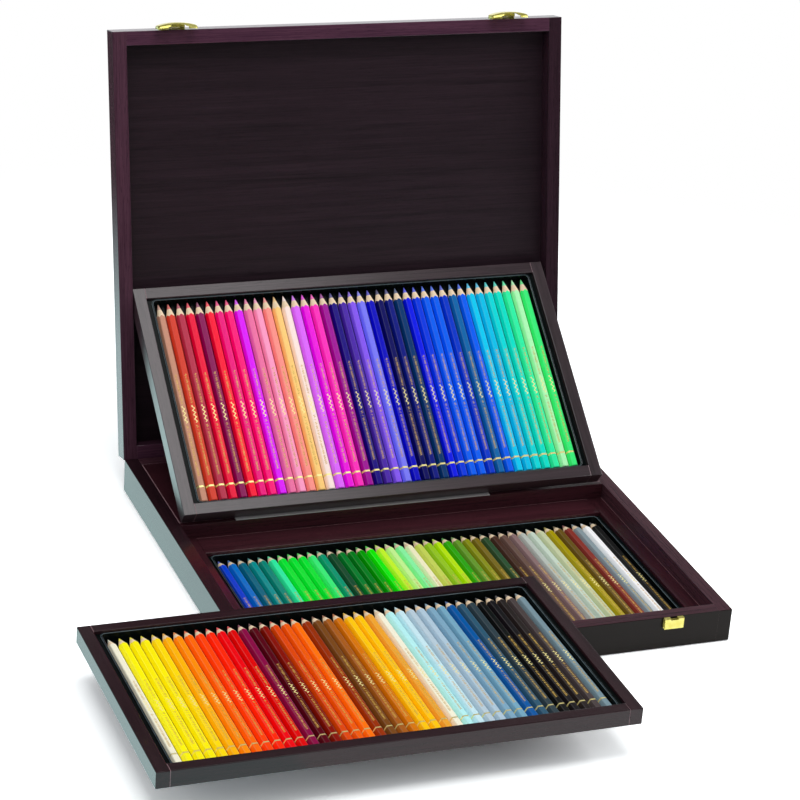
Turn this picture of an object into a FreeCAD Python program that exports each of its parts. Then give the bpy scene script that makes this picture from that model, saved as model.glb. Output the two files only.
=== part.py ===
import FreeCAD, Part
import math
import os

os.makedirs("parts", exist_ok=True)

# A wooden pencil box, in millimetres. X runs left to right, Y front to back, Z up.
# The origin is the centre of the base's underside.

# the box
box_width = 376.0
box_depth = 339.0
base_height = 26.5
wall = 11.0
floor_thickness = 2.4
edge_round = 0.5

# the lid, which stands open
lid_thickness = 16.2
panel_thickness = 2.4
lid_open_angle = 102.0
seam_gap = 0.3

# pencils
pencil_length = 175.4
pencil_across_flats = 6.8
pencil_pitch = 7.97
lead_radius = 1.8
sharpened_half_angle = 15.5
point_radius = 0.3
butt_cap = 1.5

# black inserts, one under every row of pencils
insert_height = 9.0
insert_sheet = 1.0
groove_floor = 1.4
groove_depth = 1.6
groove_side_angle = 60.0
groove_clearance = 0.1
bead_height = 0.8
bead_width = 1.3
bead_end_width = 1.0
pocket_corner = 3.2
pocket_side_gap = 0.9
pocket_end_gap = 1.3
end_flange = 1.1
least_side_flange = 4.0
insert_clearance = 0.3

# trays
tray_height = 12.9
tray_board = 9.6
tray_bottom = 1.5
tray_side_play = 2.0

# the compartment inside the base
compartment_play = 7.8
ledge_height = 14.4
side_ledge = 12.2
front_ledge = 2.0
partition_thickness = 5.0
deck_thickness = 3.0
strip_width = 211.0
strip_depth = 4.6
strip_thickness = 0.6
strip_offset = -27.5

# where the trays are while the box stands open
moving_clearance = 0.3
leaning_tray_offset = -1.5
foot_setback = 3.0
flattest_lean = 25.0
front_tray_left_overhang = 113.0
front_tray_front_overhang = 139.5

# lid hinges
hinge_spacing = 230.0
hinge_leaf_length = 28.0
hinge_leaf_width = 9.0
hinge_leaf_thickness = 1.0
hinge_leaf_setback = 0.5
hinge_leaf_end_setback = 1.2
hinge_screw_share = 0.55
hinge_barrel_radius = 1.5
hinge_pin_radius = 0.7
hinge_pin_behind_back = 0.3
hinge_pin_below_rim = 1.5
knuckle_gap = 0.2
stop_tongue_length = 3.6
stop_tongue_thickness = 1.0
running_clearance = 0.05
hinge_screw_head_radius = 1.6
hinge_screw_radius = 0.8
hinge_screw_length = 6.0
hinge_screw_spacing = 16.0
screw_slot_width = 0.4
screw_slot_depth = 0.35
leaf_bed_clearance = 0.1
barrel_end_clearance = 0.3
barrel_clearance = 0.4

# clasps
clasp_from_side = 49.4
clasp_plate_width = 21.0
clasp_plate_thickness = 0.9
clasp_plate_corner = 3.0
clasp_strap_overlap = 3.0
clasp_plate_height = 9.0
clasp_plate_above_seam = 5.2
clasp_axis_above_seam = 4.0
clasp_axis_standoff = 2.6
clasp_barrel_radius = 1.4
clasp_axle_radius = 0.7
clasp_knuckle_half = 5.7
clasp_knuckle_end = 9.0
clasp_pin_spacing = 15.0
clasp_pin_radius = 0.7
clasp_pin_head_radius = 1.5
clasp_pin_head_height = 0.8
clasp_pin_rise = 5.6
clasp_pin_depth = 7.0
lever_width = 32.0
lever_sheet = 0.9
lever_crown_standoff = 5.4
lever_crown_sag = 1.8
lever_side_radius = 2.6
lever_corner = 5.0
lever_neck_half = 5.4
lever_barrel_gap = 0.4
lever_curl_standoff = 0.45
lever_curl_above_keeper_end = 1.7
lever_arch_top_half = 4.5
lever_arch_foot_half = 7.0
lever_arch_standoff = 4.2
lever_swing_out = 5.5
catch_reach = 0.7
keeper_width = 15.8
keeper_height = 8.7
keeper_below_rim = 0.3
keeper_standoff = 3.0
keeper_sheet = 0.8
keeper_bend = 0.7
keeper_notch_width = 6.2
keeper_notch_depth = 1.5
keeper_pin_spacing = 9.0
keeper_pin_drop = 4.8
keeper_pin_head_radius = 1.3
keeper_pin_head_height = 0.7

# sizes that follow
front_face = -box_depth / 2
back_face = box_depth / 2
left_face = -box_width / 2
right_face = box_width / 2
inner_width = box_width - 2 * wall
tray_width = inner_width - 2 * tray_side_play
pocket_depth = pencil_length + 2 * pocket_end_gap
insert_depth = pocket_depth + 2 * end_flange
opening_depth = insert_depth + 2 * insert_clearance
tray_depth = opening_depth + 2 * tray_board
compartment_front = front_face + wall
compartment_back = compartment_front + tray_depth + compartment_play
back_ledge = compartment_back - compartment_front - front_ledge - opening_depth
ledge_opening_width = inner_width - 2 * side_ledge
tray_opening_width = tray_width - 2 * tray_board
narrowest_insert = min(ledge_opening_width, tray_opening_width) - 2 * insert_clearance
pencils_in_row = int((narrowest_insert - 2 * least_side_flange) // pencil_pitch)
mating_plane = base_height + seam_gap
pin_y = back_face + hinge_pin_behind_back
pin_z = base_height - hinge_pin_below_rim
recess_depth = lid_thickness - panel_thickness


def block(x0, x1, y0, y1, z0, z1):
    return Part.makeBox(x1 - x0, y1 - y0, z1 - z0, FreeCAD.Vector(x0, y0, z0))


def rounded(shape):
    return shape.makeFillet(edge_round, shape.Edges)


# four boards round an opening, rounded as one frame: the side boards run the whole depth
def framed(x0, x1, y0, y1, z0, z1, board):
    opening = block(x0 + board, x1 - board, y0 + board, y1 - board, z0 - 1, z1 + 1)
    frame = block(x0, x1, y0, y1, z0, z1).cut(opening)

    def in_opening_corner(edge):
        first, last = edge.Vertexes[0], edge.Vertexes[-1]
        return abs(first.Z - last.Z) > 0.1 and x0 + 0.1 < first.X < x1 - 0.1

    frame = frame.makeFillet(edge_round, [edge for edge in frame.Edges if not in_opening_corner(edge)])
    return {
        "left": frame.common(block(x0, x0 + board, y0, y1, z0, z1)),
        "right": frame.common(block(x1 - board, x1, y0, y1, z0, z1)),
        "front": frame.common(block(x0 + board, x1 - board, y0, y0 + board, z0, z1)),
        "back": frame.common(block(x0 + board, x1 - board, y1 - board, y1, z0, z1)),
    }


def rod_x(x0, x1, y, z, radius):
    return Part.makeCylinder(radius, x1 - x0, FreeCAD.Vector(x0, y, z), FreeCAD.Vector(1, 0, 0))


def rod_y(x, y0, y1, z, radius):
    return Part.makeCylinder(radius, y1 - y0, FreeCAD.Vector(x, y0, z), FreeCAD.Vector(0, 1, 0))


def rod_z(x, y, z0, z1, radius):
    return Part.makeCylinder(radius, z1 - z0, FreeCAD.Vector(x, y, z0), FreeCAD.Vector(0, 0, 1))


def joined(shapes):
    first = shapes[0].fuse(shapes[1:])
    return first.removeSplitter()


def turned(shape, y, z, degrees):
    copy = shape.copy()
    copy.rotate(FreeCAD.Vector(0, y, z), FreeCAD.Vector(1, 0, 0), degrees)
    return copy


def moved(shape, x, y, z):
    copy = shape.copy()
    copy.translate(FreeCAD.Vector(x, y, z))
    return copy


def save(node, shapes):
    shapes = shapes if isinstance(shapes, list) else [shapes]
    solids = [solid for shape in shapes for solid in shape.Solids]
    whole = solids[0] if len(solids) == 1 else Part.makeCompound(solids)
    whole.exportStep(os.path.join("parts", node + ".step"))


# hinge pieces that cut their beds out of the wood
hinge_centres = [-hinge_spacing / 2, hinge_spacing / 2]
clasp_centres = [left_face + clasp_from_side, right_face - clasp_from_side]
leaf_back = back_face - hinge_leaf_setback
leaf_front = leaf_back - hinge_leaf_width
screw_y = leaf_back - hinge_leaf_width * hinge_screw_share


def hinge_screw_places(centre):
    return [(centre + side * hinge_screw_spacing / 2, screw_y) for side in (-1, 1)]


def leaf_bed(centre, z0, z1):
    half = hinge_leaf_length / 2 + leaf_bed_clearance
    return block(centre - half, centre + half, leaf_front - leaf_bed_clearance, back_face + 1, z0, z1)


def barrel_bed(centre):
    half = hinge_leaf_length / 2 + barrel_end_clearance
    room = hinge_barrel_radius + barrel_clearance
    return rod_x(centre - half, centre + half, pin_y, pin_z, room)


# base
rim = base_height
base_beds = []
for centre in hinge_centres:
    base_beds.append(leaf_bed(centre, rim - hinge_leaf_thickness, rim + 1))
    base_beds.append(barrel_bed(centre))
    for x, y in hinge_screw_places(centre):
        base_beds.append(rod_z(x, y, rim - hinge_leaf_thickness - hinge_screw_length, rim + 1,
                               hinge_screw_radius))

keeper_pin_places = [(centre + side * keeper_pin_spacing / 2,
                      base_height - keeper_below_rim - keeper_pin_drop)
                     for centre in clasp_centres for side in (-1, 1)]
keeper_pin_holes = [rod_y(x, front_face - 1, front_face + clasp_pin_depth, z, clasp_pin_radius)
                    for x, z in keeper_pin_places]

base_walls = framed(left_face, right_face, front_face, back_face, 0, rim, wall)
save("base_left_wall", base_walls["left"])
save("base_right_wall", base_walls["right"])
save("base_front_wall", base_walls["front"].cut(keeper_pin_holes))
save("base_back_wall", base_walls["back"].cut(base_beds))
save("base_floor", block(left_face + wall, right_face - wall, front_face + wall, back_face - wall,
                         0, floor_thickness))

# the partition closes the compartment's back, and the deck lies behind it, flush with the rim
partition_back = compartment_back + partition_thickness
save("partition", rounded(block(left_face + wall, right_face - wall, compartment_back, partition_back,
                                floor_thickness, rim)))
save("deck", block(left_face + wall, right_face - wall, partition_back, back_face - wall,
                   rim - deck_thickness, rim))

# ledge boards hold the lowest insert, and a stowed tray rests on them
ledge_left_edge = left_face + wall + side_ledge
ledge_right_edge = right_face - wall - side_ledge
ledge_front_edge = compartment_front + front_ledge
ledge_back_edge = compartment_back - back_ledge
save("ledge_left", rounded(block(left_face + wall, ledge_left_edge, compartment_front, compartment_back,
                                 floor_thickness, ledge_height)))
save("ledge_right", rounded(block(ledge_right_edge, right_face - wall, compartment_front,
                                  compartment_back, floor_thickness, ledge_height)))
save("ledge_front", rounded(block(ledge_left_edge, ledge_right_edge, compartment_front,
                                  ledge_front_edge, floor_thickness, ledge_height)))
save("ledge_back", rounded(block(ledge_left_edge, ledge_right_edge, ledge_back_edge, compartment_back,
                                 floor_thickness, ledge_height)))


# an insert is one formed sheet: a flange round a pocket whose floor has a groove for each pencil
def insert_sheet_shape(width):
    half_pocket = pencils_in_row * pencil_pitch / 2 + pocket_side_gap
    y0 = end_flange
    y1 = end_flange + pocket_depth
    land = groove_floor + groove_depth
    half_floor = pencil_across_flats / math.sqrt(3) / 2 + groove_clearance
    half_mouth = half_floor + groove_depth / math.tan(math.radians(groove_side_angle))
    outline = [(-half_pocket, insert_height + 5), (-half_pocket, land)]
    for number in range(pencils_in_row):
        centre = (number - (pencils_in_row - 1) / 2) * pencil_pitch
        outline += [(centre - half_mouth, land), (centre - half_floor, groove_floor),
                    (centre + half_floor, groove_floor), (centre + half_mouth, land)]
    outline.append((half_pocket, land))
    outline.append((half_pocket, insert_height + 5))
    corners = [FreeCAD.Vector(x, y0, z) for x, z in outline]
    wire = Part.makePolygon(corners + corners[:1])
    grooved = Part.Face(wire).extrude(FreeCAD.Vector(0, y1 - y0, 0))

    def upright(half, low, high, z0, z1, radius):
        shape = block(-half, half, low, high, z0, z1)
        edges = [edge for edge in shape.Edges
                 if abs(edge.Vertexes[0].Z - edge.Vertexes[1].Z) > 0.1]
        return shape.makeFillet(radius, edges)

    pocket = grooved.common(upright(half_pocket, y0, y1, -1, insert_height + 6, pocket_corner))
    cup = upright(half_pocket + insert_sheet, y0 - insert_sheet, y1 + insert_sheet,
                  0, insert_height, pocket_corner + insert_sheet)
    flange = block(-width / 2, width / 2, 0, insert_depth, insert_height - insert_sheet, insert_height)
    bead = upright(half_pocket + bead_width, y0 - bead_end_width, y1 + bead_end_width,
                   insert_height - insert_sheet, insert_height + bead_height,
                   pocket_corner + bead_end_width)
    return joined([cup, flange, bead]).cut(pocket)


# a pencil lies with a flat up, its point to the back
def pencil_shapes():
    corner_radius = pencil_across_flats / math.sqrt(3)
    taper = math.tan(math.radians(sharpened_half_angle))
    corners = []
    for number in range(6):
        angle = math.radians(60 * number)
        corners.append(FreeCAD.Vector(corner_radius * math.cos(angle), 0,
                                      corner_radius * math.sin(angle)))
    hexagon = Part.Face(Part.makePolygon(corners + corners[:1]))
    prism = hexagon.extrude(FreeCAD.Vector(0, pencil_length, 0))
    outer = corner_radius + 0.5
    cone_start = pencil_length - (outer - point_radius) / taper
    lead_start = pencil_length - (lead_radius - point_radius) / taper

    def spun(points):
        ring = [FreeCAD.Vector(radius, along, 0) for radius, along in points]
        face = Part.Face(Part.makePolygon(ring + ring[:1]))
        return face.revolve(FreeCAD.Vector(0, 0, 0), FreeCAD.Vector(0, 1, 0), 360)

    sharpener = spun([(0, -1), (outer, -1), (outer, cone_start), (lead_radius, lead_start),
                      (0, lead_start)])
    bore = Part.makeCylinder(lead_radius, pencil_length, FreeCAD.Vector(0, butt_cap, 0),
                             FreeCAD.Vector(0, 1, 0))
    barrel = prism.common(sharpener).cut(bore)
    lead = spun([(0, butt_cap), (lead_radius, butt_cap), (lead_radius, lead_start),
                 (point_radius, pencil_length), (0, pencil_length)])
    return barrel, lead


barrel_shape, lead_shape = pencil_shapes()
pencil_axis_height = groove_floor + pencil_across_flats / 2 + running_clearance
pencil_row_start = end_flange + pocket_end_gap


def pencil_row(shape):
    row = []
    for number in range(pencils_in_row):
        x = (number - (pencils_in_row - 1) / 2) * pencil_pitch
        row.append(moved(shape, x, pencil_row_start, pencil_axis_height))
    return Part.makeCompound(row)


base_insert_width = ledge_opening_width - 2 * insert_clearance
insert_y = ledge_front_edge + insert_clearance
save("base_insert", moved(insert_sheet_shape(base_insert_width), 0, insert_y, floor_thickness))
save("base_pencils", moved(pencil_row(barrel_shape), 0, insert_y, floor_thickness))
save("base_leads", moved(pencil_row(lead_shape), 0, insert_y, floor_thickness))


# a lift-out tray
def tray(name, place):
    half = tray_width / 2
    inner = half - tray_board
    boards = framed(-half, half, 0, tray_depth, 0, tray_height, tray_board)
    for side, shape in boards.items():
        save(name + "_" + side + "_board", place(shape))
    save(name + "_bottom", place(block(-inner, inner, tray_board, tray_depth - tray_board,
                                       0, tray_bottom)))
    seat = tray_board + insert_clearance
    insert = insert_sheet_shape(tray_opening_width - 2 * insert_clearance)
    save(name + "_insert", place(moved(insert, 0, seat, tray_bottom)))
    save(name + "_pencils", place(moved(pencil_row(barrel_shape), 0, seat, tray_bottom)))
    save(name + "_leads", place(moved(pencil_row(lead_shape), 0, seat, tray_bottom)))


# The leaning tray's foot stands at the deck's front edge and its back edge rests on the lid's panel.
# Where the lid is too far back for that, the foot stands further back instead.
tilt = math.radians(lid_open_angle - 90)


def opened_point(y, z):
    angle = math.radians(-lid_open_angle)
    dy = y - pin_y
    dz = z - pin_z
    return (pin_y + dy * math.cos(angle) - dz * math.sin(angle),
            pin_z + dy * math.sin(angle) + dz * math.cos(angle))


lid_corner_y, lid_corner_z = opened_point(back_face, mating_plane)
foot_z = base_height + strip_thickness + moving_clearance
reach = recess_depth - moving_clearance
lift = (foot_z - lid_corner_z) * math.sin(tilt)
furthest = tray_depth * math.cos(math.radians(flattest_lean) + tilt) - reach
foot_y = max(compartment_back + foot_setback, lid_corner_y - (furthest - lift) / math.cos(tilt))
foot_to_lid = (lid_corner_y - foot_y) * math.cos(tilt) + lift
lean = math.degrees(math.acos((foot_to_lid + reach) / tray_depth) - tilt)


def lean_tray(shape):
    return moved(turned(shape, 0, 0, lean), leaning_tray_offset, foot_y, foot_z)


def front_tray(shape):
    x = left_face - front_tray_left_overhang + tray_width / 2
    return moved(shape, x, front_face - front_tray_front_overhang, base_height + moving_clearance)


tray("leaning_tray", lean_tray)
tray("front_tray", front_tray)

# a pale strip on the deck's edge, under the leaning tray's foot
strip_front = foot_y - foot_setback
save("foot_strip", block(strip_offset - strip_width / 2, strip_offset + strip_width / 2,
                         strip_front, strip_front + strip_depth, rim, rim + strip_thickness))


# lid, drawn closed and then swung open about the hinge pins
def opened(shape):
    return turned(shape, pin_y, pin_z, -lid_open_angle)


lid_top = mating_plane + lid_thickness
lid_beds = []
for centre in hinge_centres:
    lid_beds.append(leaf_bed(centre, mating_plane - 1, mating_plane + hinge_leaf_thickness))
    for x, y in hinge_screw_places(centre):
        lid_beds.append(rod_z(x, y, mating_plane - 1,
                              mating_plane + hinge_leaf_thickness + hinge_screw_length,
                              hinge_screw_radius))

clasp_pin_z = mating_plane + clasp_plate_above_seam + clasp_pin_rise
clasp_pin_places = [(centre + side * clasp_pin_spacing / 2, clasp_pin_z)
                    for centre in clasp_centres for side in (-1, 1)]
clasp_pin_holes = [rod_y(x, front_face - 1, front_face + clasp_pin_depth, z, clasp_pin_radius)
                   for x, z in clasp_pin_places]

lid_boards = framed(left_face, right_face, front_face, back_face, mating_plane, lid_top, wall)
save("lid_left_stile", opened(lid_boards["left"]))
save("lid_right_stile", opened(lid_boards["right"]))
save("lid_front_rail", opened(lid_boards["front"].cut(clasp_pin_holes)))
save("lid_back_rail", opened(lid_boards["back"].cut(lid_beds)))
save("lid_panel", opened(block(left_face + wall, right_face - wall, front_face + wall,
                               back_face - wall, lid_top - panel_thickness, lid_top)))

# butt hinges: the base leaf has the outer knuckles and holds the pin, the lid leaf turns on it.
# The pin lies below the rim, so the lid leaf's knuckle hangs from it on a short neck.
half_leaf = hinge_leaf_length / 2
middle_knuckle = hinge_leaf_length / 6


def leaf(centre, z0, spans):
    leaf_end = back_face - hinge_leaf_end_setback
    pieces = [block(centre - half_leaf, centre + half_leaf, leaf_front, leaf_end,
                    z0, z0 + hinge_leaf_thickness)]
    for x0, x1 in spans:
        pieces.append(block(centre + x0, centre + x1, leaf_end - 1, pin_y, z0,
                            z0 + hinge_leaf_thickness))
        pieces.append(rod_x(centre + x0, centre + x1, pin_y, pin_z, hinge_barrel_radius))
    return joined(pieces)


def knuckle_neck(centre):
    return block(centre - middle_knuckle, centre + middle_knuckle, pin_y - hinge_leaf_thickness / 2,
                 pin_y + hinge_leaf_thickness, pin_z, mating_plane + hinge_leaf_thickness)


# at full opening the tongue behind the lid leaf's knuckle comes up against the base's back
def stop_tongue(centre):
    down = math.radians(lid_open_angle - 90)
    to_wall = hinge_pin_behind_back - moving_clearance
    low = (stop_tongue_length * math.sin(down) - to_wall) / math.cos(down)
    return block(centre - middle_knuckle, centre + middle_knuckle, pin_y, pin_y + stop_tongue_length,
                 pin_z + low, pin_z + low + stop_tongue_thickness)


def hinge_screw(x, y, z, direction):
    head = rod_z(x, y, z - hinge_leaf_thickness, z, hinge_screw_head_radius)
    shank = rod_z(x, y, z - hinge_leaf_thickness - hinge_screw_length, z, hinge_screw_radius)
    slot = block(x - hinge_screw_head_radius, x + hinge_screw_head_radius, y - screw_slot_width / 2,
                 y + screw_slot_width / 2, z - screw_slot_depth, z + 1)
    screw = joined([head, shank]).cut(slot)
    if direction > 0:
        screw = screw.mirror(FreeCAD.Vector(0, 0, z), FreeCAD.Vector(0, 0, 1))
    return screw


base_screws = []
lid_screws = []
hinge_pins = []
for side, centre in zip(("left", "right"), hinge_centres):
    outer = [(-half_leaf, -middle_knuckle - knuckle_gap), (middle_knuckle + knuckle_gap, half_leaf)]
    bore = rod_x(centre - half_leaf - 1, centre + half_leaf + 1, pin_y, pin_z, hinge_pin_radius)
    wide_bore = rod_x(centre - half_leaf - 1, centre + half_leaf + 1, pin_y, pin_z,
                      hinge_pin_radius + running_clearance)
    head_z = (rim, mating_plane)
    heads = [[rod_z(x, y, z - 2, z + 2, hinge_screw_head_radius)
              for x, y in hinge_screw_places(centre)] for z in head_z]
    room = block(centre - middle_knuckle - knuckle_gap, centre + middle_knuckle + knuckle_gap,
                 back_face - 1.6, back_face + 9, 0, lid_top + 9)
    base_leaf = leaf(centre, rim - hinge_leaf_thickness, outer).cut([bore, room] + heads[0])
    save("hinge_%s_base_leaf" % side, base_leaf)
    lid_leaf = leaf(centre, mating_plane, [(-middle_knuckle, middle_knuckle)])
    lid_leaf = joined([lid_leaf, knuckle_neck(centre), stop_tongue(centre)])
    lid_leaf = lid_leaf.cut([wide_bore] + heads[1])
    save("hinge_%s_lid_leaf" % side, opened(lid_leaf))
    hinge_pins.append(rod_x(centre - half_leaf, centre + half_leaf, pin_y, pin_z, hinge_pin_radius))
    for x, y in hinge_screw_places(centre):
        base_screws.append(hinge_screw(x, y, rim, -1))
        lid_screws.append(opened(hinge_screw(x, y, mating_plane, 1)))
save("hinge_pins", hinge_pins)
save("hinge_base_screws", base_screws)
save("hinge_lid_screws", lid_screws)

# keepers: a plate on the base's front, folded over at the top into two tabs with a notch between
keeper_top = base_height - keeper_below_rim
keeper_bottom = keeper_top - keeper_height
for side, centre in zip(("left", "right"), clasp_centres):
    half = keeper_width / 2
    out = front_face - keeper_standoff
    outside = block(centre - half, centre + half, out, front_face, keeper_bottom, keeper_top)
    bend = [edge for edge in outside.Edges
            if all(abs(v.Y - out) < 0.01 and abs(v.Z - keeper_top) < 0.01 for v in edge.Vertexes)]
    hollow = block(centre - half - 1, centre + half + 1, out + keeper_sheet, front_face - keeper_sheet,
                   keeper_bottom - 1, keeper_top - keeper_sheet)
    notch = block(centre - keeper_notch_width / 2, centre + keeper_notch_width / 2,
                  out - 1, front_face + 1, keeper_top - keeper_notch_depth, keeper_top + 1)
    keeper = outside.makeFillet(keeper_bend, bend).cut([hollow, notch] + keeper_pin_holes)
    save("keeper_%s" % side, keeper)
save("keeper_pins", [joined([
    rod_y(x, front_face - keeper_sheet, front_face + clasp_pin_depth, z, clasp_pin_radius),
    rod_y(x, front_face - keeper_sheet - keeper_pin_head_height, front_face - keeper_sheet, z,
          keeper_pin_head_radius)])
    for x, z in keeper_pin_places])

# clasps: a plate pinned to the lid's front carries an axle, and a domed lever swings on it
axis_z = mating_plane + clasp_axis_above_seam
axis_y = front_face - clasp_axis_standoff
axles = []
clasp_pins = [joined([
    rod_y(x, front_face - clasp_plate_thickness, front_face + clasp_pin_depth, z, clasp_pin_radius),
    rod_y(x, front_face - clasp_plate_thickness - clasp_pin_head_height,
          front_face - clasp_plate_thickness, z, clasp_pin_head_radius)]) for x, z in clasp_pin_places]


# the lever's sheet, seen from below: a shallow crown that turns down in a tight bend at each side
def dome_section(centre, z):
    bend_x = lever_width / 2 - lever_side_radius
    radius = (bend_x ** 2 + lever_crown_sag ** 2) / (2 * lever_crown_sag)
    crown_y = front_face - lever_crown_standoff + radius
    bend_y = crown_y - math.sqrt((radius - lever_side_radius) ** 2 - bend_x ** 2)
    slope = math.atan2(bend_x, crown_y - bend_y)

    def arc(x, y, size, start, end):
        angles = (start, (start + end) / 2, end)
        return Part.Arc(*[FreeCAD.Vector(centre + x + size * math.sin(a), y - size * math.cos(a), z)
                          for a in angles]).toShape()

    def skin(inset):
        bend = lever_side_radius - inset
        return [arc(-bend_x, bend_y, bend, -math.pi / 2, -slope),
                arc(0, crown_y, radius - inset, -slope, slope),
                arc(bend_x, bend_y, bend, slope, math.pi / 2)]

    outer, inner = skin(0), skin(lever_sheet)
    ends = [Part.makeLine(outer[i].Vertexes[v].Point, inner[i].Vertexes[v].Point)
            for i, v in ((0, 0), (2, -1))]
    return Part.Face(Part.Wire(Part.__sortEdges__(outer + inner + ends)))


# The free end curls in below the keeper. An arch is cut in it, and the sheet on both sides of the
# arch hooks under the keeper's end, while the two lobes pass beside the keeper.
def lever(centre):
    half = lever_width / 2
    curl_z = keeper_bottom + lever_curl_above_keeper_end
    shell_top = axis_z - clasp_barrel_radius - lever_barrel_gap
    straight = dome_section(centre, curl_z).extrude(FreeCAD.Vector(0, 0, shell_top - curl_z))
    curl = dome_section(centre, curl_z).revolve(
        FreeCAD.Vector(0, front_face - lever_curl_standoff, curl_z), FreeCAD.Vector(1, 0, 0), 90)

    lobe_half = keeper_width / 2 + moving_clearance
    hook = keeper_standoff - catch_reach
    outline = [(-lobe_half, -1), (-lobe_half, hook), (-lever_arch_foot_half, hook),
               (-lever_arch_top_half, lever_arch_standoff)]
    outline += [(-x, out) for x, out in reversed(outline)]
    curl_depth = lever_crown_standoff + 1
    corners = [FreeCAD.Vector(centre + x, front_face - out, curl_z - curl_depth)
               for x, out in outline]
    arch = Part.Face(Part.makePolygon(corners + corners[:1]))
    arch = arch.extrude(FreeCAD.Vector(0, 0, curl_depth - lever_sheet / 2))

    corner_cuts = []
    for side in (-1, 1):
        inner = centre + side * (half - lever_corner)
        square = block(min(inner, centre + side * (half + 1)), max(inner, centre + side * (half + 1)),
                       front_face - 30, front_face, shell_top - lever_corner, shell_top + 1)
        corner_cuts.append(square.cut(rod_y(inner, front_face - 31, front_face + 1,
                                            shell_top - lever_corner, lever_corner)))
    barrel = rod_x(centre - clasp_knuckle_half, centre + clasp_knuckle_half, axis_y, axis_z,
                   clasp_barrel_radius)
    neck_y = axis_y - clasp_barrel_radius
    neck = block(centre - lever_neck_half, centre + lever_neck_half, neck_y, neck_y + lever_sheet,
                 shell_top - lever_sheet, axis_z)
    step = block(centre - lever_neck_half, centre + lever_neck_half,
                 front_face - lever_crown_standoff + lever_sheet * 0.6, neck_y + lever_sheet,
                 shell_top - lever_sheet, shell_top)
    bore = rod_x(centre - half, centre + half, axis_y, axis_z, clasp_axle_radius + running_clearance)
    shell = straight.fuse(curl).cut([arch] + corner_cuts)
    return joined([shell, barrel, neck, step]).cut(bore)


for side, centre in zip(("left", "right"), clasp_centres):
    half = clasp_plate_width / 2
    plate_low = mating_plane + clasp_plate_above_seam
    plate = block(centre - half, centre + half, front_face - clasp_plate_thickness, front_face,
                  plate_low, plate_low + clasp_plate_height)
    upright_edges = [edge for edge in plate.Edges
                     if abs(edge.Vertexes[0].Y - edge.Vertexes[1].Y) > 0.1]
    pieces = [plate.makeFillet(clasp_plate_corner, upright_edges)]
    for x0, x1 in ((-clasp_knuckle_end, -clasp_knuckle_half - knuckle_gap),
                   (clasp_knuckle_half + knuckle_gap, clasp_knuckle_end)):
        pieces.append(rod_x(centre + x0, centre + x1, axis_y, axis_z, clasp_barrel_radius))
        pieces.append(block(centre + x0, centre + x1, front_face - clasp_plate_thickness,
                            front_face, axis_z, plate_low + clasp_strap_overlap))
        pieces.append(block(centre + x0, centre + x1, axis_y, front_face,
                            axis_z + clasp_barrel_radius - clasp_plate_thickness,
                            axis_z + clasp_barrel_radius))
    axle_bore = rod_x(centre - half, centre + half, axis_y, axis_z, clasp_axle_radius)
    save("clasp_%s_plate" % side, opened(joined(pieces).cut([axle_bore] + clasp_pin_holes)))
    axles.append(opened(rod_x(centre - clasp_knuckle_end, centre + clasp_knuckle_end, axis_y, axis_z,
                              clasp_axle_radius)))
    swung = turned(lever(centre), axis_y, axis_z, -lever_swing_out)
    save("clasp_%s_lever" % side, opened(swung))
save("clasp_pins", [opened(pin) for pin in clasp_pins])
save("clasp_axles", axles)
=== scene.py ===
import bmesh
import bpy
import math
from mathutils import Matrix, Vector


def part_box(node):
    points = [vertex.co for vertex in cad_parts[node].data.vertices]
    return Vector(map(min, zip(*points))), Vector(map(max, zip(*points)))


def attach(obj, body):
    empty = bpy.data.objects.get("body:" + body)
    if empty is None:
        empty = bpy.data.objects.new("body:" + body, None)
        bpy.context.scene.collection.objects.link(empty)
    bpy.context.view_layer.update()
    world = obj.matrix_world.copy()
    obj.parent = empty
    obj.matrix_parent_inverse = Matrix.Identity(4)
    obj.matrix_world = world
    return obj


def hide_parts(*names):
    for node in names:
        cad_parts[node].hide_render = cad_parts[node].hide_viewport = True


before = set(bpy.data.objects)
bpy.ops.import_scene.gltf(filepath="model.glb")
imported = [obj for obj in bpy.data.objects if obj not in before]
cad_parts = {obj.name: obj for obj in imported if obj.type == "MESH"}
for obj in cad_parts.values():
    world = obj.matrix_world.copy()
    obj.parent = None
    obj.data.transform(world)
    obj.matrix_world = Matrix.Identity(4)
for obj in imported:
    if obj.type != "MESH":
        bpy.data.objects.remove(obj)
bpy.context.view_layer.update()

# ---------------------------------------------------------------------------------------------
# The view: a camera with a long lens, at the front left and well above the table, looking down.
# It is rolled six degrees, and its lens is shifted a little to bring the box into the frame.
lens, film_width = 134.0, 36
lens_shift = (-0.184, 0.1466)
nearest, furthest = 0.05, 50
eye = Vector((-0.7984, -1.8966, 1.0710))
heading, dip, roll = math.radians(-25.52), math.radians(-26.39), math.radians(6.06)

across = Vector((math.cos(heading), math.sin(heading), 0))
ahead = Vector((-math.sin(heading) * math.cos(dip),
                math.cos(heading) * math.cos(dip),
                math.sin(dip)))
upward = across.cross(ahead)
side = across * math.cos(roll) + upward * math.sin(roll)
above = upward * math.cos(roll) - across * math.sin(roll)
camera = bpy.data.objects.new("camera", bpy.data.cameras.new("camera"))
camera.matrix_world = Matrix((
    (side.x, above.x, -ahead.x, eye.x),
    (side.y, above.y, -ahead.y, eye.y),
    (side.z, above.z, -ahead.z, eye.z),
    (0, 0, 0, 1)))
camera.data.lens = lens
camera.data.sensor_width = film_width
camera.data.shift_x, camera.data.shift_y = lens_shift
camera.data.clip_start, camera.data.clip_end = nearest, furthest
bpy.context.collection.objects.link(camera)
bpy.context.scene.camera = camera
bpy.context.scene.view_settings.view_transform = "Standard"


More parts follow.
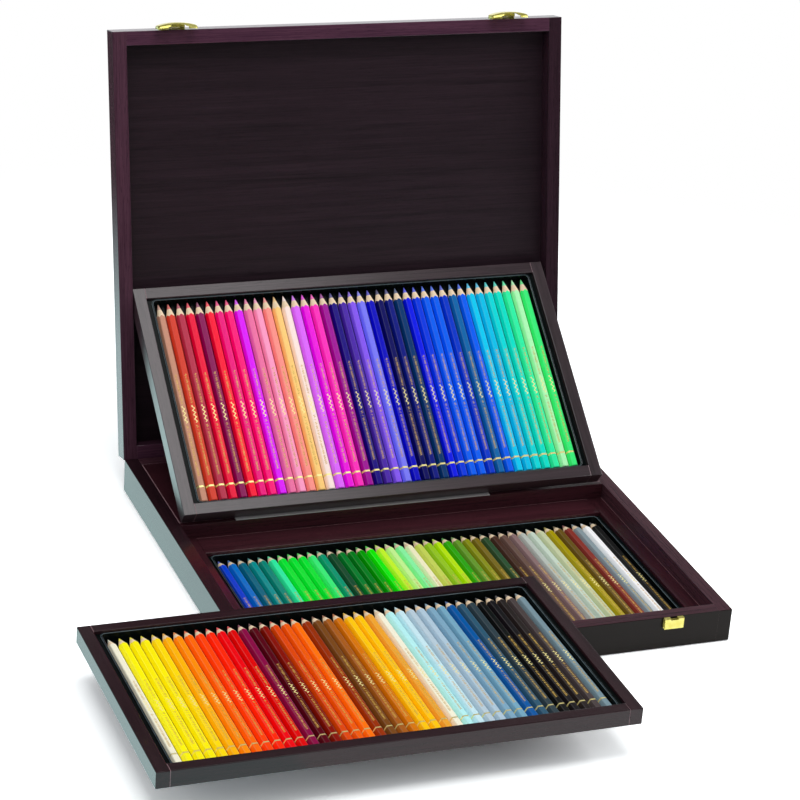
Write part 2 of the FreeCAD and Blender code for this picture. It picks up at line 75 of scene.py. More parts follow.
# ---------------------------------------------------------------------------------------------
# The table: a pale seamless sheet, wide enough that its edge is never seen.
# It shows the front tray's soft shadow, and is otherwise as white as the wall behind it.
class Wire:
    """One socket of a finish, so that shader maths reads as plain expressions."""

    def __init__(self, finish, socket):
        self.finish = finish
        self.socket = socket

    def maths(self, operation, *values):
        return self.finish.node("Math", {"operation": operation}, dict(enumerate(values)))

    def __add__(self, other):
        return self.maths("ADD", self, other)

    def __sub__(self, other):
        return self.maths("SUBTRACT", self, other)

    def __rsub__(self, other):
        return self.maths("SUBTRACT", other, self)

    def __mul__(self, other):
        return self.maths("MULTIPLY", self, other)

    def __truediv__(self, other):
        return self.maths("DIVIDE", self, other)

    def __mod__(self, other):
        return self.maths("FLOORED_MODULO", self, other)

    def __abs__(self):
        return self.maths("ABSOLUTE", self)

    def __gt__(self, other):
        return self.maths("GREATER_THAN", self, other)

    def __lt__(self, other):
        return self.maths("LESS_THAN", self, other)

    def __and__(self, other):
        return self.maths("MINIMUM", self, other)

    def __or__(self, other):
        return self.maths("MAXIMUM", self, other)

    __radd__ = __add__
    __rmul__ = __mul__


class Finish:
    """A material made of nodes. Numbers that are the same all over go straight on the shader."""

    def __init__(self, name, **constants):
        self.material = bpy.data.materials.new(name)
        self.material.use_nodes = True
        self.tree = self.material.node_tree
        self.shader = self.tree.nodes["Principled BSDF"]
        self.out = self.tree.nodes["Material Output"]
        self.set({key.replace("_", " "): value for key, value in constants.items()})

    def node(self, kind, settings=None, sockets=None, output=0):
        made = self.tree.nodes.new("ShaderNode" + kind)
        for key, value in (settings or {}).items():
            if key == "stops":
                while len(made.color_ramp.elements) < len(value):
                    made.color_ramp.elements.new(1.0)
                for stop, (place, colour) in zip(made.color_ramp.elements, value):
                    stop.position = place
                    stop.color = (*colour, 1)
            else:
                setattr(made, key, value)
        for key, value in (sockets or {}).items():
            self.feed(made.inputs[key], value)
        return Wire(self, made.outputs[output])

    def feed(self, socket, value):
        if isinstance(value, Wire):
            self.tree.links.new(value.socket, socket)
        else:
            socket.default_value = value

    def set(self, sockets):
        for key, value in sockets.items():
            if key == "Base Color" and not isinstance(value, Wire):
                value = (*value, 1)
            self.feed(self.shader.inputs[key], value)

    def blend(self, mask, first, second):
        pair = [value if isinstance(value, Wire) else (*value, 1) for value in (first, second)]
        return self.node("Mix", {"data_type": "RGBA"}, {0: mask, 6: pair[0], 7: pair[1]}, 2)

    def noise(self, where, scale=1.0, detail=2.0, roughness=0.5):
        return self.node("TexNoise", None, {"Vector": where, "Scale": scale, "Detail": detail,
                                            "Roughness": roughness})

    def bump(self, height, strength, distance):
        return self.node("Bump", None, {"Height": height, "Strength": strength,
                                        "Distance": distance})

    def place(self):
        return self.node("TexCoord", output="Object")


def paint(hex_code):
    """A colour as it is written for a screen, made linear."""
    parts = [int(hex_code[i:i + 2], 16) / 255 for i in (0, 2, 4)]
    return tuple(p / 12.92 if p < 0.04045 else ((p + 0.055) / 1.055) ** 2.4 for p in parts)


def scaled(colour, share):
    return tuple(part * share for part in colour)


def piece(name, form, material):
    """Turns a finished bmesh into an object at the origin."""
    mesh = bpy.data.meshes.new(name)
    form.to_mesh(mesh)
    form.free()
    mesh.materials.append(material)
    made = bpy.data.objects.new(name, mesh)
    bpy.context.collection.objects.link(made)
    return made


sheet_reach, sheet_drop = 9.0, 0.0004
sheet_colour = (0.84, 0.86, 0.86)
fibre_scale, fibre_shade = 9.0, 0.985
overexposed, mirror_exposed = 2.1, 1.7
white_from, white_to = 0.55, 0.9
card_edge, card_fade = -0.178, 0.008
card_light, card_colour = 1.4, (0.74, 1, 1, 1)
lit_reach, dark_reach = 0.42, 0.95
dark_colour = (0.03, 0.04, 0.035, 1)
wall_foot_back = 1.8

table = Finish("table_sheet", Roughness=0.9)
fibres = table.noise(table.place(), fibre_scale)
shaded_sheet = scaled(sheet_colour, fibre_shade)
table.set({"Base Color": table.blend(fibres, sheet_colour, shaded_sheet)})
mirrored = table.node("LightPath", output="Is Glossy Ray")
in_view = table.node("LightPath", output="Is Camera Ray")
in_view = in_view | table.node("LightPath", output="Is Transmission Ray")
near = Wire(table, table.shader.outputs[0])
for rays, exposed in ((in_view, overexposed), (mirrored, mirror_exposed)):
    bright = table.node("BsdfDiffuse", None, {"Color": (*scaled(sheet_colour, exposed), 1)})
    near = table.node("MixShader", None, {0: rays, 1: near, 2: bright})
outward = table.node("VectorMath", {"operation": "LENGTH"}, {0: table.place()}, 1)
white = table.node("Emission", None, {"Color": (1, 1, 1, 1), "Strength": 1.0})
far = table.node("MapRange", {"interpolation_type": "SMOOTHSTEP"},
                 {"Value": outward, "From Min": white_from, "From Max": white_to})
seen = table.node("MixShader", None, {0: far * in_view, 1: near, 2: white})
# A pale blue-green card lies along the box's left side. Beyond the lit sheet the table is dark,
# except far behind, where the white wall begins. Only polished faces show these.
leftward = table.node("SeparateXYZ", None, {"Vector": table.place()}, 0)
card = table.node("MapRange", None, {"Value": leftward, "From Min": card_edge,
                                     "From Max": card_edge - card_fade})
card_face = table.node("Emission", None, {"Color": card_colour, "Strength": card_light})
seen = table.node("MixShader", None, {0: card * mirrored, 1: seen, 2: card_face})
unlit = table.node("MapRange", {"interpolation_type": "SMOOTHSTEP"},
                   {"Value": outward, "From Min": lit_reach, "From Max": dark_reach})
wall_foot = table.node("SeparateXYZ", None, {"Vector": table.place()}, 1) > wall_foot_back
unlit = unlit * (1 - wall_foot)
shade = table.node("Emission", None, {"Color": dark_colour, "Strength": 1.0})
seen = table.node("MixShader", None, {0: unlit * mirrored, 1: seen, 2: shade})
table.tree.links.new(seen.socket, table.out.inputs["Surface"])
form = bmesh.new()
bmesh.ops.create_grid(form, x_segments=2, y_segments=2, size=sheet_reach)
bmesh.ops.translate(form, verts=form.verts, vec=(0, 0, -sheet_drop))
piece("table_sheet", form, table.material)

# ---------------------------------------------------------------------------------------------
# The studio: white walls and three soft boxes that light everything softly. In polished faces the
# room is dark, apart from a dim window high behind on the right and the white wall low below it.
wall_light, wall_tint = 0.5, (0.97, 0.98, 1.0, 1)
dark_room = 0.03
studio = bpy.data.worlds.new("studio")
bpy.context.scene.world = studio
studio.use_nodes = True


class Surround(Finish):
    """The world's nodes, written the same way as a finish."""

    def __init__(self, world):
        self.tree = world.node_tree
        self.shader = self.tree.nodes["Background"]


room = Surround(studio)
towards = room.node("TexCoord", output="Generated")


def patch(way, begins, full, light):
    """A soft round patch of light that polished faces show. begins and full are the cosines of the
    angle from its middle at which it begins and is full."""
    near_way = room.node("VectorMath", {"operation": "DOT_PRODUCT"}, {0: towards, 1: way}, "Value")
    return room.node("MapRange", None, {"Value": near_way, "From Min": begins, "From Max": full,
                                        "To Max": light})


window = patch((0.36, 0.82, 0.44), begins=0.85, full=0.96, light=0.13)
window = window | patch((0.36, 0.93, 0.07), begins=0.94, full=0.975, light=1.4)
in_view = room.node("LightPath", output="Is Camera Ray")
in_view = in_view | room.node("LightPath", output="Is Transmission Ray")
mirrored = room.node("LightPath", output="Is Glossy Ray")
strength = in_view + mirrored * (window | dark_room)
strength = strength + (1 - in_view) * (1 - mirrored) * wall_light
room.set({"Color": wall_tint, "Strength": strength})


def soft_box(name, place, aim, width, height, power):
    lamp = bpy.data.lights.new(name, "AREA")
    lamp.shape = "RECTANGLE"
    lamp.size, lamp.size_y = width, height
    lamp.energy = power
    holder = bpy.data.objects.new(name, lamp)
    holder.location = place
    holder.rotation_euler = (Vector(aim) - Vector(place)).to_track_quat("-Z", "Y").to_euler()
    bpy.context.collection.objects.link(holder)


soft_box("overhead_box", (-0.15, -0.25, 1.6), (-0.15, -0.2, 0), 1.3, 1.0, 11.0)
soft_box("right_box", (1.9, -0.2, 1.1), (0, 0, 0.1), 1.3, 1.0, 17.0)
soft_box("left_box", (-2.1, 0.1, 1.1), (0, 0, 0.15), 1.0, 1.0, 4.0)


# ---------------------------------------------------------------------------------------------
# The base: hardwood strips stained a dark plum brown and sprayed with clear lacquer.
# The side walls run the whole depth, and the front and back walls are glued between them.
# The front face is painted darker as shade; sanded edges are paler: worn stain and painted
# highlight.
front_face = -0.1693
cloud_size = 7
streak_share, cloud_share = 0.62, 0.38
dark_until, middle_at, light_from = 0.30, 0.50, 0.72
pore_length, pore_width, pore_limit = 0.16, 0.42, 0.36
pore_shade, pore_strength = 0.45, 0.4
front_streak = 1.5
glue_highlight_width, glue_highlight_tone, glue_highlight_strength = 0.0008, paint("8a666a"), 0.7
gloss_swing = 0.12
grain_relief, pore_relief, relief_strength, relief_depth = 0.7, 0.5, 0.12, 0.0002


def wood(name, dark, light, along, turn=0.0, coat=0.4, ior=1.4, gloss=0.22, fine=0.0011,
         long=0.055, coat_blur=0.1, front=None, seams=()):
    """Lacquered, stained wood. along is the way the grain runs before the board is turned. front is
    the box's front face's tone, painted darker as shade, where the lacquer is also left out. seams
    are the glued joints, as an axis and a place on it, where a pale line shows: glue and a painted
    highlight."""
    made = Finish(name, Roughness=gloss, Coat_Weight=coat, Coat_Roughness=coat_blur, IOR=ior)
    place = made.place()

    def grain(length, width):
        size = [length if way == along else width for way in "XYZ"]
        return made.node("Mapping", {"vector_type": "TEXTURE"}, {
            "Vector": place, "Rotation": (turn, 0, 0), "Scale": size})

    def on_axis(axis):
        return made.node("SeparateXYZ", None, {"Vector": place}, axis)

    streak = made.noise(grain(long, fine), detail=4.0, roughness=0.62)
    cloud = made.noise(grain(long * cloud_size, fine * cloud_size))
    pore = made.noise(grain(long * pore_length, fine * pore_width), detail=1.0, roughness=0.4)
    pore = pore < pore_limit
    middle = tuple((a + b) / 2 for a, b in zip(dark, light))
    stops = [(dark_until, dark), (middle_at, middle), (light_from, light)]
    tone = made.node("ValToRGB", {"stops": stops},
                     {"Fac": streak * streak_share + cloud * cloud_share})
    # The box's front face: a darker tone painted as shade, and no lacquer.
    if front:
        painted_shade_front = on_axis(1) < front_face
        tone = made.blend(painted_shade_front, tone, made.blend(streak, front, scaled(front, front_streak)))
        made.set({"Coat Weight": (1 - painted_shade_front) * coat})
    # A pale line at each glued joint: glue, and partly a painted highlight along the joint.
    for axis, joint in seams:
        glue_highlight_line = abs(on_axis(axis) - joint) < glue_highlight_width
        tone = made.blend(glue_highlight_line * glue_highlight_strength, tone, glue_highlight_tone)
    made.set({
        "Base Color": made.blend(pore * pore_strength, tone, scaled(dark, pore_shade)),
        "Roughness": gloss + (streak - 0.5) * gloss_swing,
        "Normal": made.bump(streak * grain_relief - pore * pore_relief,
                            relief_strength, relief_depth)})
    return made.material


def joined_copy(name, same_point=0.000001, same_plane=math.radians(0.5)):
    """A CAD node's loose triangles, joined up into whole faces."""
    form = bmesh.new()
    form.from_mesh(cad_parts[name].data)
    bmesh.ops.remove_doubles(form, verts=form.verts, dist=same_point)
    bmesh.ops.dissolve_limit(form, angle_limit=same_plane, verts=form.verts, edges=form.edges)
    return form


def ease(form, edges, width, segments, slot=1):
    """Rounds edges off. The new faces take the piece's second material, unless told otherwise."""
    rounded = bmesh.ops.bevel(form, geom=edges, affect="EDGES", offset=width, segments=segments,
                              profile=0.5, material=-1, clamp_overlap=True)
    for face in rounded["faces"]:
        face.material_index = slot


def sharp_edges(form, least_angle):
    return [edge for edge in form.edges
            if edge.is_manifold and edge.calc_face_angle() > math.radians(least_angle)]


def boards(body, material, *names):
    """Boards with their sharp edges sanded off and paler there: worn stain and a painted highlight.
    """
    for name in names:
        form = joined_copy(name)
        ease(form, sharp_edges(form, sanded_angle), sanded_edge, 2)
        made = piece(name + "_board", form, material)
        made.data.materials.append(rubbed_edge_highlight.material)
        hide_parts(name)
        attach(made, body)


def dress(material, *names):
    for name in names:
        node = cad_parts[name]
        node.data.materials.clear()
        node.data.materials.append(material)


sanded_angle, sanded_edge = 40, 0.0005
plum_dark, plum_light = paint("2e1a22"), paint("58363f")
# The front face's darker tone is painted shade.
front_painted_shade = paint("181310")
# The sanded edges' paler tone: partly worn stain, partly a painted highlight along the edges.
rubbed_edge_highlight = Finish("rubbed_edge_wood", Roughness=0.3, Coat_Weight=0.3, Coat_Roughness=0.2)
rubbing_and_highlight = rubbed_edge_highlight.noise(rubbed_edge_highlight.place(), scale=160.0, detail=3.0)
rubbed_edge_highlight.set({"Base Color": rubbed_edge_highlight.blend(rubbing_and_highlight, paint("74565d"), paint("b09096"))})
wall_finish = {"ior": 1.25, "front": front_painted_shade}
boards("base", wood("base_left_wood", paint("190e12"), paint("321c22"), "Y", **wall_finish),
       "base_left_wall")
wall_finish["coat"] = 0.2
boards("base", wood("base_right_wood", plum_dark, plum_light, "Y", **wall_finish),
       "base_right_wall")
boards("base", wood("base_cross_wood", plum_dark, plum_light, "X", **wall_finish),
       "base_front_wall", "base_back_wall")

# The floor, the partition and the deck behind it: thin boards between the walls, stained maroon
# like the ledges.
maroon_dark, maroon_light = paint("271217"), paint("48222a")
deck_wood = wood("deck_wood", maroon_dark, maroon_light, "X", fine=0.0014)
dress(deck_wood, "base_floor")
boards("base", deck_wood, "partition", "deck")

# The ledges: flat boards that hold the lowest insert. They are butted, with the side ledges
# running through, and a pale line at each joint is partly glue and partly a painted highlight.
side_joints = (0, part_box("ledge_left")[0][0]), (0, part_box("ledge_right")[1][0])
back_joint = (1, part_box("ledge_back")[1][1])
boards("base", wood("ledge_side_wood", maroon_dark, maroon_light, "Y", seams=side_joints),
       "ledge_left", "ledge_right")
boards("base", wood("ledge_cross_wood", maroon_dark, maroon_light, "X", seams=[back_joint]),
       "ledge_front", "ledge_back")

# ---------------------------------------------------------------------------------------------
# The lid: two stiles and two rails, stained and lacquered like the base's walls and glued round a
# thin veneered panel, which has a finer grain and no lacquer.
lid_turn = math.radians(102)
panel_dark, panel_light = paint("180d14"), paint("33212b")
# The left stile and the rails are lighter than the right stile: partly a painted reflection at top
# left.
boards("lid", wood("lid_left_wood", paint("38202d"), paint("603c4d"), "Y", -lid_turn),
       "lid_left_stile")
boards("lid", wood("lid_right_wood", paint("22141b"), paint("3a232f"), "Y", -lid_turn),
       "lid_right_stile")
boards("lid", wood("lid_rail_wood", paint("361c2f"), paint("603a4d"), "X", -lid_turn),
       "lid_front_rail", "lid_back_rail")
dress(wood("lid_panel_wood", panel_dark, panel_light, "X", -lid_turn, coat=0.0, gloss=0.4,
           fine=0.0008, long=0.05), "lid_panel")

# ---------------------------------------------------------------------------------------------
# The pale strip under the leaning tray's foot: felted rubber, stuck along the partition's edge,
# that keeps the tray from sliding.
grip = Finish("grip_strip", Roughness=0.85)
speck = grip.noise(grip.place(), scale=2600.0)
grip.set({"Base Color": grip.blend(speck, paint("a09ca0"), paint("c8c4c6")),
          "Normal": grip.bump(speck, strength=0.4, distance=0.0002)})
dress(grip.material, "foot_strip")

# ---------------------------------------------------------------------------------------------
# The trays: narrow boards glued round a thin bottom, and stained like the box. The leaning tray has
# the thicker, duller lacquer. Each tray's back board has a thinner coat than its other boards.
lean = math.radians(37.1821)
back_coat = 0.55
for tray, turn, dark, light, coat, ior, blur in (
        ("leaning_tray", lean, paint("231a1e"), paint("44343a"), 0.85, 1.45, 0.3),
        ("front_tray", 0.0, paint("1b0f13"), paint("372126"), 0.25, 1.35, 0.1)):
    finish = {"turn": turn, "coat": coat, "ior": ior, "coat_blur": blur}
    boards(tray, wood(tray + "_side_wood", dark, light, "Y", **finish), tray + "_left_board",
           tray + "_right_board")
    boards(tray, wood(tray + "_front_wood", dark, light, "X", **finish), tray + "_front_board")
    finish["coat"] = coat * back_coat
    boards(tray, wood(tray + "_back_wood", dark, light, "X", **finish), tray + "_back_board")
    dress(wood(tray + "_bottom_wood", panel_dark, panel_light, "X", turn), tray + "_bottom")


# ---------------------------------------------------------------------------------------------
# The inserts: black plastic sheet, drawn over a mould into a groove for each pencil. They rest in
# the trays and the base, and their rounded lip is painted grey-blue all round, as a highlight.
def plastic(name, dark, light, gloss, specular):
    made = Finish(name, Roughness=gloss, Specular_IOR_Level=specular)
    # The lighter tone shows in patches; on the black sheet its teal tint is a painted reflection.
    haze_and_reflection = made.noise(made.place(), scale=90.0, detail=3.0)
    texture = made.noise(made.place(), scale=700.0)
    made.set({"Base Color": made.blend(haze_and_reflection, dark, light),
              "Roughness": gloss + haze_and_reflection * haze_and_reflection_blur,
              "Normal": made.bump(texture, strength=0.12, distance=0.0002)})
    return made.material


lip_angle, lip_height, lip_rounding = 30, 0.0001, 0.00035
haze_and_reflection_blur = 0.16
# The black's faint teal tint is a painted reflection.
insert_black = plastic("insert_black", paint("050909"), paint("0d1414"), gloss=0.16, specular=0.08)
# The lip's grey-blue tone is a painted highlight on the black plastic.
insert_lip_highlight = plastic("insert_lip_black", paint("38464c"), paint("66767c"), gloss=0.2, specular=0.5)
for tray, tilt in (("base", 0.0), ("leaning_tray", lean), ("front_tray", 0.0)):
    form = joined_copy(tray + "_insert")
    out_of_tray = Vector((0, -math.sin(tilt), math.cos(tilt)))
    top = max(vert.co.dot(out_of_tray) for vert in form.verts)
    lip = [edge for edge in sharp_edges(form, lip_angle)
           if all(top - vert.co.dot(out_of_tray) < lip_height for vert in edge.verts)]
    ease(form, lip, lip_rounding, 2)
    made = piece(tray + "_insert_sheet", form, insert_black)
    made.data.materials.append(insert_lip_highlight)
    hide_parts(tray + "_insert")
    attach(made, tray)

# ---------------------------------------------------------------------------------------------
# The pencils: six-sided wooden barrels dipped in coloured lacquer, with a gold foil pattern, a
# gold ring near the butt, and a cone of bare wood cut back to a coloured point.
pencil_length, pencil_pitch = 0.1754, 0.00797
flat_radius, corner_radius = 0.0034, 0.00382
flat_steps = (-25.6, -12, 0, 12, 25.6)
butt_rounding = 0.0005
cone_slope = math.tan(math.radians(15.5))
lead_radius, point_radius = 0.0018, 0.0003
lead_sides = 12
hidden_lead, hidden_radius = 0.002, 0.8 * lead_radius
shoulder_radius, blunt_end = 1.8 * point_radius, 0.0001

# Plain paint names. From golden to flame the hues step evenly, nine degrees at a time.
paints = {
    "ivory": "f5f0d8", "cream": "f4f0c8", "lemon": "fff610", "yellow": "fff000",
    "golden": "ffdd00", "sun": "ffb700", "amber": "ff9000", "tangerine": "ff6a00",
    "flame": "ff4400", "vermilion": "ff2a08", "scarlet": "f01018", "red": "e00808",
    "crimson": "8a1848", "wine": "5a0a18", "blood": "8a1a10", "rust": "e04a10",
    "orange": "f06020", "bright_orange": "ff7a30", "russet": "9a3818", "umber": "7a4a20",
    "sienna": "a86028", "ochre": "d87810", "maize": "ffc810", "sand": "f0a840",
    "shell": "ffe8e0", "pale_aqua": "b8f0f0", "ice": "c8e8f0", "mist": "b8ccd8",
    "light_grey": "b0c8d8", "grey_blue": "80a8c0", "dull_blue": "78a8c0", "ink_blue": "1058a0",
    "slate": "305870", "dark_slate": "304048", "black": "101010", "soot": "181418",
    "sepia": "28201f", "warm_grey": "4a4040", "pewter": "78909a", "rose_beige": "c89078",
    "brick": "d84838", "dusty": "b83850", "cherry": "f01840", "maroon": "8a1058",
    "ruby": "ff1038", "raspberry": "f01880", "fuchsia": "ff2880", "violet_pink": "e010ff",
    "pink": "f078a8", "blush": "ffa0c8", "salmon": "ff9890", "apricot": "ffd080",
    "orchid": "e070ff", "magenta": "f000e0", "hot_pink": "ff40c0", "plum": "a01898",
    "indigo": "201080", "purple": "5030a8", "lavender": "8a60f0", "periwinkle": "8080f8",
    "deep_blue": "0808c0", "dark_navy": "101060", "navy": "182080", "prussian": "103a70",
    "royal": "0818e8", "ultramarine": "0038e0", "azure": "1060f0", "cobalt": "0838c8",
    "steel_blue": "2068a8", "cyan": "10c8f0", "sea_blue": "28c0e8", "turquoise": "18d8d8",
    "aqua": "20e0c8", "mint": "40f0a8", "pale_mint": "b0f8b8", "spring": "48f080",
    "blue": "0040d0", "cerulean": "0070c8", "dark_teal": "006880", "teal": "009090",
    "jade": "008878", "bright_green": "20e840", "emerald": "009870", "dark_green": "1a5030",
    "green": "108030", "grass": "088020", "leaf": "10a010", "lime_green": "10f000",
    "lime": "c8f840", "light_lime": "c8f898", "pale_green": "90f8a8", "olive_lime": "c8d860",
    "apple": "98c830", "chartreuse": "b8e800", "meadow": "30a800", "moss": "6a9a30",
    "olive": "8a9020", "dark_olive": "7a6a20", "forest": "305030", "dark_brown": "4a2f25",
    "brown_grey": "6a5048", "mauve_grey": "8a7070", "sage": "b8c0b8", "pale_sage": "c8d8c8",
    "linen": "c8d0a8", "gold_olive": "a89800", "bronze": "6a5420", "copper": "8a3830",
    "silver": "8a9aa0", "white": "ffffff",
}
rows = {
    "leaning_tray": "rose_beige brick dusty cherry maroon ruby raspberry fuchsia violet_pink pink "
                    "blush salmon apricot shell orchid magenta hot_pink plum indigo purple "
                    "lavender periwinkle deep_blue dark_navy navy prussian royal ultramarine "
                    "azure azure cobalt steel_blue azure cyan sea_blue turquoise aqua mint "
                    "pale_mint spring",
    "base": "blue cerulean dark_teal teal jade mint bright_green bright_green bright_green spring "
            "emerald dark_green green grass leaf lime_green lime light_lime pale_green cream "
            "olive_lime apple chartreuse meadow moss olive dark_olive forest dark_brown brown_grey "
            "mauve_grey sage pale_sage linen gold_olive bronze copper silver white black",
    "front_tray": "ivory lemon yellow yellow golden sun amber tangerine flame vermilion scarlet "
                  "red crimson wine blood rust orange bright_orange russet umber sienna ochre "
                  "maize maize sand ivory pale_aqua ice mist light_grey grey_blue dull_blue "
                  "ink_blue slate dark_slate black soot sepia warm_grey pewter",
}


def barrel_radius(angle):
    """How far the lacquered barrel reaches from its axis, with its six corners cut back."""
    from_flat = (math.degrees(angle) + 30) % 60 - 30
    return min(flat_radius / math.cos(math.radians(from_flat)), corner_radius)


def cone_reach(radius):
    """How far along the pencil the sharpened cone has that radius."""
    return pencil_length - (radius - point_radius) / cone_slope


def shape_ring(verts, radius_at, along_at):
    for vert in verts:
        angle = math.atan2(vert.co.x, vert.co.z)
        radius = radius_at(angle)
        vert.co = (radius * math.sin(angle), along_at(angle), radius * math.cos(angle))


def grow(form, edges, radius_at, along_at):
    """Draws a ring of edges out into the next ring along the pencil, whose axis is Y."""
    more = bmesh.ops.extrude_edge_only(form, edges=edges)["geom"]
    shape_ring([v for v in more if isinstance(v, bmesh.types.BMVert)], radius_at, along_at)
    return [e for e in more if isinstance(e, bmesh.types.BMEdge) and e.is_boundary]


def start_ring(form, angles, radius_at, along):
    made = bmesh.ops.create_circle(form, cap_ends=True, segments=len(angles), radius=1.0)["verts"]
    for vert, angle in zip(made, angles):
        vert.co = (math.sin(angle), 0, math.cos(angle))
    shape_ring(made, radius_at, lambda angle: along)
    return [e for e in form.edges if e.is_boundary]


def one_pencil():
    """A rounded butt, the lacquered sides, and the cone of bare wood down to the lead, where a
    hidden end face closes it."""
    form = bmesh.new()
    angles = [math.radians(60 * flat + step) for flat in range(6) for step in flat_steps]
    edges = start_ring(form, angles, lambda a: barrel_radius(a) - butt_rounding, 0.0)
    edges = grow(form, edges, barrel_radius, lambda a: butt_rounding)
    edges = grow(form, edges, barrel_radius, lambda a: cone_reach(barrel_radius(a)))
    before = set(form.faces)
    edges = grow(form, edges, lambda a: lead_radius, lambda a: cone_reach(lead_radius))
    bmesh.ops.contextual_create(form, geom=edges)
    for edge in edges:
        edge.smooth = False
    for face in set(form.faces) - before:
        face.material_index = 1
        face.smooth = True
    return charted(form)


def one_lead():
    """The coloured lead where it leaves the wood: a cone with a blunt end."""
    form = bmesh.new()
    angles = [math.radians(360 / lead_sides * side) for side in range(lead_sides)]
    start = cone_reach(lead_radius) - hidden_lead
    edges = start_ring(form, angles, lambda a: hidden_radius, start)
    edges = grow(form, edges, lambda a: lead_radius, lambda a: cone_reach(lead_radius))
    edges = grow(form, edges, lambda a: shoulder_radius, lambda a: cone_reach(shoulder_radius))
    edges = grow(form, edges, lambda a: point_radius, lambda a: pencil_length - blunt_end)
    bmesh.ops.contextual_create(form, geom=edges)
    for face in form.faces:
        face.smooth = True
    return charted(form)


def charted(form):
    """Marks how far along the pencil and round it every corner lies; 0.5 round is the upper flat."""
    bmesh.ops.recalc_face_normals(form, faces=form.faces)
    chart = form.loops.layers.uv.new("barrel")
    for face in form.faces:
        middle = face.calc_center_median()
        turn = math.atan2(middle.x, middle.z)
        for loop in face.loops:
            angle = math.atan2(loop.vert.co.x, loop.vert.co.z)
            angle += 2 * math.pi * round((turn - angle) / (2 * math.pi))
            loop[chart].uv = (loop.vert.co.y / pencil_length, angle / (2 * math.pi) + 0.5)
    mesh = bpy.data.meshes.new("one")
    form.to_mesh(mesh)
    form.free()
    return mesh


def row_of(name, one, colours, home, materials):
    """Lays a copy of the pencil or lead in every groove, each in its own paint."""
    form = bmesh.new()
    tint = form.loops.layers.float_color.new("paint")
    for number, colour in enumerate(colours):
        before = len(form.faces)
        form.from_mesh(one)
        form.faces.ensure_lookup_table()
        fresh = form.faces[before:]
        shift = Matrix.Translation(((number - (len(colours) - 1) / 2) * pencil_pitch, 0, 0))
        verts = list({vert for face in fresh for vert in face.verts})
        bmesh.ops.transform(form, matrix=home @ shift, verts=verts)
        for face in fresh:
            for loop in face.loops:
                loop[tint] = (*paint(paints[colour]), 1)
    made = piece(name, form, materials[0])
    for material in materials[1:]:
        made.data.materials.append(material)
    return made


# The lacquer: each pencil's paint under a thin clear coat. The upper flat carries a broken gold
# zigzag, wider and brighter in the middle, and a gold ring runs round near the butt. Lengths here
# are shares of the pencil's length, and widths are shares of a flat's.
fine_ends = ((0.122, 0.372), (0.482, 0.630))
bold_ends = (0.384, 0.472)
ring_ends = (0.067, 0.0755)
fine_pitch, fine_reach, fine_width = 1 / 110, 0.2, 0.12
bold_pitch, bold_reach, bold_width = 1 / 46, 0.26, 0.13
unbroken_share = 0.72
bronze, gold, bright_gold = paint("b07c28"), paint("f6d878"), paint("fff0a0")
bronze_until, gold_rise = 0.36, 3.4
foil_shine, ring_shine, foil_relief = 0.15, 0.6, 0.2
arris_highlight_share, arris_highlight_strength = 0.05, 0.06
mottle_from, mottle_swing = 0.99, 0.08
lacquer_gloss, mottle_blur = 0.3, 0.1
plain_white = (1.0, 1.0, 1.0)
lacquer = Finish("pencil_lacquer", Coat_Weight=0.1, Coat_Roughness=0.12, Specular_IOR_Level=0.1)
chart = lacquer.node("UVMap", {"uv_map": "barrel"})
along = lacquer.node("SeparateXYZ", None, {"Vector": chart}, 0)
round_about = lacquer.node("SeparateXYZ", None, {"Vector": chart}, 1)
# How far round from the upper flat's middle, in flats.
off_line = (round_about - 0.5) * 6.0


def between(ends):
    return (along > ends[0]) & (along < ends[1])


def wave(pitch, reach, width):
    """A zigzag line that swings that far to each side of the upper flat's middle, with that much
    foil to each side of the line."""
    swing = (abs((along / pitch) % 1.0 - 0.5) * 4.0 - 1.0) * reach
    return abs(off_line - swing) < width


stroke = lacquer.node("Math", {"operation": "FLOOR"}, {0: along / (fine_pitch * 0.5)})
chance = lacquer.node("TexWhiteNoise", {"noise_dimensions": "1D"}, {"W": stroke}, 0)
fine_line = wave(fine_pitch, fine_reach, fine_width) & (chance < unbroken_share)
fine_line = fine_line & (between(fine_ends[0]) | between(fine_ends[1]))
bold_line = wave(bold_pitch, bold_reach, bold_width) & between(bold_ends)
band = between(ring_ends)
tint = lacquer.node("Attribute", {"attribute_name": "paint"})
mottle = lacquer.noise(lacquer.place(), scale=420.0)
coloured = lacquer.node("HueSaturation", None, {
    "Saturation": 1.03, "Value": mottle_from + mottle * mottle_swing, "Color": tint})
# A painted highlight: a faint white line along each of the barrel's six corners.
arris_highlight = abs((round_about * 6.0) % 1.0 - 0.5) < arris_highlight_share
coloured = lacquer.blend(arris_highlight * arris_highlight_strength, coloured, plain_white)
glint = lacquer.noise(lacquer.place(), scale=1700.0, detail=1.0)
foil = lacquer.blend((glint - bronze_until) * gold_rise, bronze, gold)
foil = lacquer.blend(bold_line | band, foil, bright_gold)
foiled = fine_line | bold_line | band
lacquer.set({
    "Base Color": lacquer.blend(foiled, coloured, foil),
    "Metallic": (fine_line | bold_line) * foil_shine | band * ring_shine,
    "Roughness": lacquer_gloss + mottle * mottle_blur,
    "Normal": lacquer.bump(foiled, foil_relief, distance=0.0001)})

# The sharpened cone's bare wood, with the knife's fine lines along it, and the leads' waxy pigment.
bare = Finish("sharpened_wood", Roughness=0.62)
knife = bare.noise(bare.node("Mapping", {"vector_type": "TEXTURE"}, {
    "Vector": bare.place(), "Scale": (0.0004, 0.004, 0.0004)}), detail=3.0)
bare.set({"Base Color": bare.blend(knife, paint("e8c496"), paint("fff0d6")),
          "Normal": bare.bump(knife, strength=0.3, distance=0.0001)})

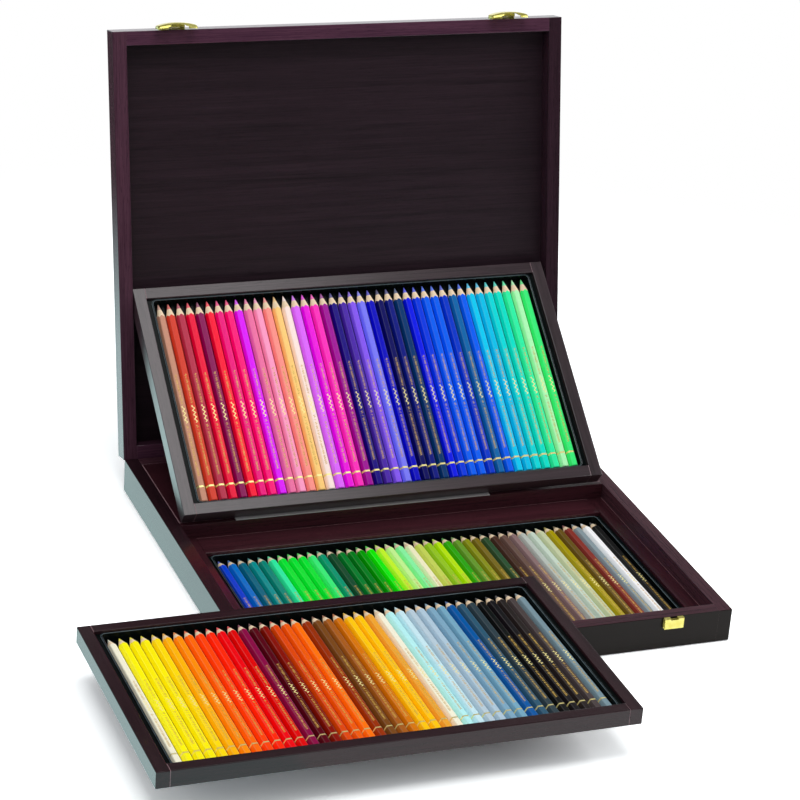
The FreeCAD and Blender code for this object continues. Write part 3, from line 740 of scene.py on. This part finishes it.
bloom = 0.12
crumb_from, crumb_swing = 0.82, 0.3
wax = Finish("coloured_lead", Roughness=0.5)
crumb = wax.noise(wax.place(), scale=3000.0)
pigment = wax.node("HueSaturation", None, {
    "Value": crumb_from + crumb * crumb_swing,
    "Color": wax.node("Attribute", {"attribute_name": "paint"})})
wax.set({"Base Color": wax.blend(bloom, pigment, plain_white),
         "Normal": wax.bump(crumb, strength=0.3, distance=0.0001)})

body_mesh, lead_mesh = one_pencil(), one_lead()
# Where the middle of each row of butts lies. The leaning tray's row is turned with its tray.
homes = {
    "base": Matrix.Translation((0, -0.1538, 0.00725)),
    "front_tray": Matrix.Translation((-0.126, -0.2967, 0.03315)),
    "leaning_tray": (Matrix.Translation((-0.0015, 0.0523, 0.0274)) @ Matrix.Rotation(lean, 4, "X")
                     @ Matrix.Translation((0, 0.0123, 0.00635))),
}
for tray, colours in rows.items():
    bodies = row_of(tray + "_pencil_row", body_mesh, colours.split(), homes[tray],
                    [lacquer.material, bare.material])
    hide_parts(tray + "_pencils")
    leads = row_of(tray + "_lead_row", lead_mesh, colours.split(), homes[tray], [wax.material])
    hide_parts(tray + "_leads")
    for made in (bodies, leads):
        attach(made, tray)

# ---------------------------------------------------------------------------------------------
# The fittings: thin brass, pressed to shape and polished, in patches from olive to pale lemon that
# are partly tarnish and partly painted shade and highlight. The hinges are screwed to the base and
# the lid. The clasps' plates and keepers are pinned on, and their levers turn on axles in the
# plates.
burr, burr_angle, crease_angle = 0.0001, 50, 28
brass_gloss, tarnish_and_sheen_blur = 0.14, 0.2
brass = Finish("polished_brass", Metallic=0.7, Roughness=0.2)
tarnish_and_sheen = brass.noise(brass.place(), scale=260.0, detail=4.0, roughness=0.6)
scratches = brass.noise(brass.place(), scale=1400.0)
# Olive to pale lemon in patches: partly tarnish, partly painted shade and highlight.
brass.set({"Base Color": brass.blend(tarnish_and_sheen, paint("d0c030"), paint("fffaa0")),
           "Roughness": brass_gloss + tarnish_and_sheen * tarnish_and_sheen_blur,
           "Normal": brass.bump(scratches, strength=0.1, distance=0.0001)})
fittings = [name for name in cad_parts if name.startswith(("hinge_", "keeper_", "clasp_"))]
for name in fittings:
    form = joined_copy(name)
    ease(form, sharp_edges(form, burr_angle), burr, 1, slot=0)
    for edge in form.edges:
        edge.smooth = edge.is_manifold and edge.calc_face_angle() < math.radians(crease_angle)
    for face in form.faces:
        face.smooth = True
    made = piece(name + "_brass", form, brass.material)
    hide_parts(name)
    if name.endswith("_lever"):
        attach(made, name[len("clasp_"):])
    else:
        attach(made, "lid" if name.startswith("clasp_") or "_lid_" in name else "base")
